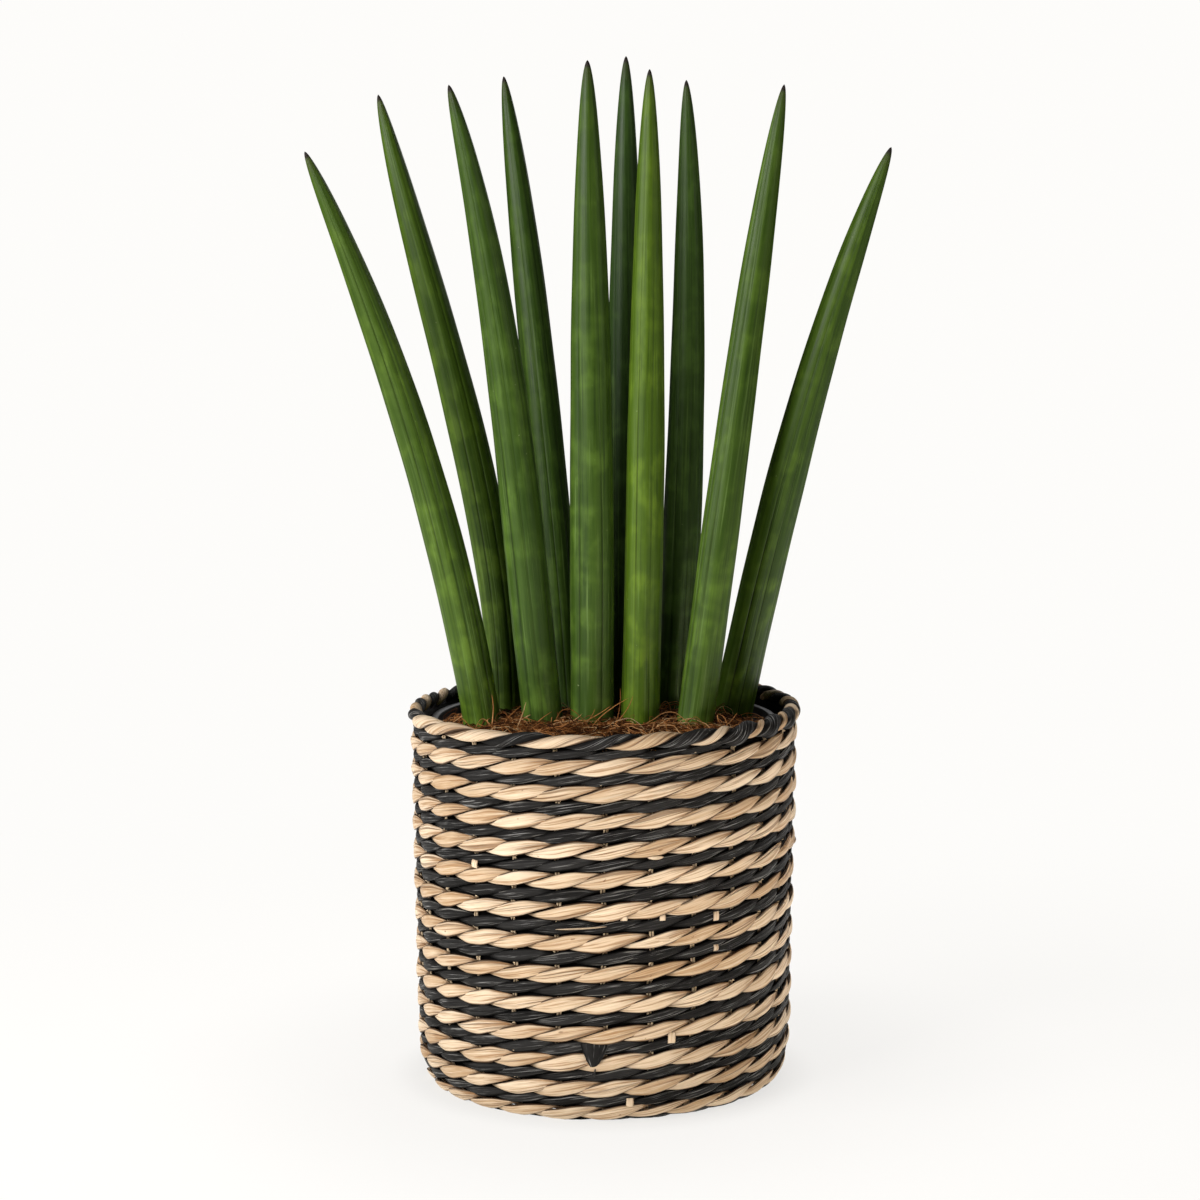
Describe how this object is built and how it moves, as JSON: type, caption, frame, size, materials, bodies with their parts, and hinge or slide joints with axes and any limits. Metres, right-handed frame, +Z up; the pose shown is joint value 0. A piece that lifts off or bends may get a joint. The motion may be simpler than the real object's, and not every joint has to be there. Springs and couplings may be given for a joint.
{
  "type": "cylindrical snake plant in a woven basket",
  "caption": "Potted succulent: a fan of upright, round, pointed, grooved leaves standing in coir mulch, in a cylindrical basket twined from natural and black strands.",
  "frame": {"origin": "middle of the basket's flat underside, on the surface that the basket stands on", "axes": "+Z up along the basket's axis, -Y towards the side that the fan of leaves faces, +X to its right as seen from there"},
  "size_m": [0.3201, 0.2202, 0.5774],
  "materials": {
    "natural_rush": "dry straw-coloured rush, satin, fine lengthwise fibres",
    "black_rush": "black-dyed rush, soft sheen, fine lengthwise fibres",
    "pot_plastic": "black moulded plastic, slightly glossy",
    "soil": "dark peaty potting soil, matt",
    "coir": "matted reddish-brown coconut fibre",
    "rhizome": "fleshy pale orange rootstock, matt",
    "leaf_green": "waxy dark green leaf skin, satin, faint pale cross bands and lengthwise grooves"
  },
  "bodies": {
    "root": {"basket_natural_weave": "natural_rush", "basket_black_weave": "black_rush", "rim_natural_strand": "natural_rush", "rim_black_strand": "black_rush", "grow_pot": "pot_plastic", "potting_soil": "soil", "coir_mulch": "coir", "rhizome": "rhizome", "leaf_01": "leaf_green", "leaf_02": "leaf_green", "leaf_03": "leaf_green", "leaf_04": "leaf_green", "leaf_05": "leaf_green", "leaf_06": "leaf_green", "leaf_07": "leaf_green", "leaf_08": "leaf_green", "leaf_09": "leaf_green", "leaf_10": "leaf_green"}
  },
  "joints": []
}
